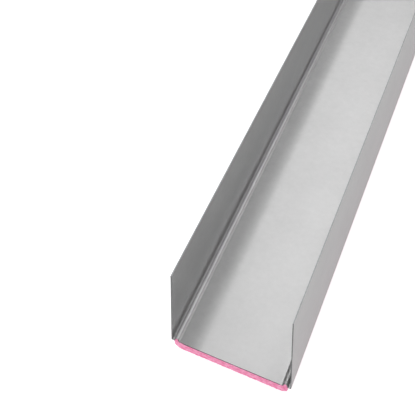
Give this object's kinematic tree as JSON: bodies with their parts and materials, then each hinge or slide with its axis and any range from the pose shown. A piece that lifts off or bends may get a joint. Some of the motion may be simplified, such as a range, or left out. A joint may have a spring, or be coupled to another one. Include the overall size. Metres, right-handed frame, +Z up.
{
  "type": "drywall track",
  "caption": "Deep-leg galvanised steel drywall track: a long U channel with ribbed web edges, legs that lean in to grip the studs, and a pink foam gasket glued under the web.",
  "frame": {"origin": "centre of the underside of the foam gasket, half way along the track", "axes": "+X across the web, +Y along the track, +Z up from the web towards the tops of the legs"},
  "size_m": [0.0664, 3.048, 0.0854],
  "materials": {
    "galvanised_steel": "dull hot-dip galvanised sheet, faint spangle",
    "pink_foam": "soft closed-cell foam, matt"
  },
  "bodies": {
    "root": {"track_channel": "galvanised_steel", "foam_gasket": "pink_foam"}
  },
  "joints": []
}
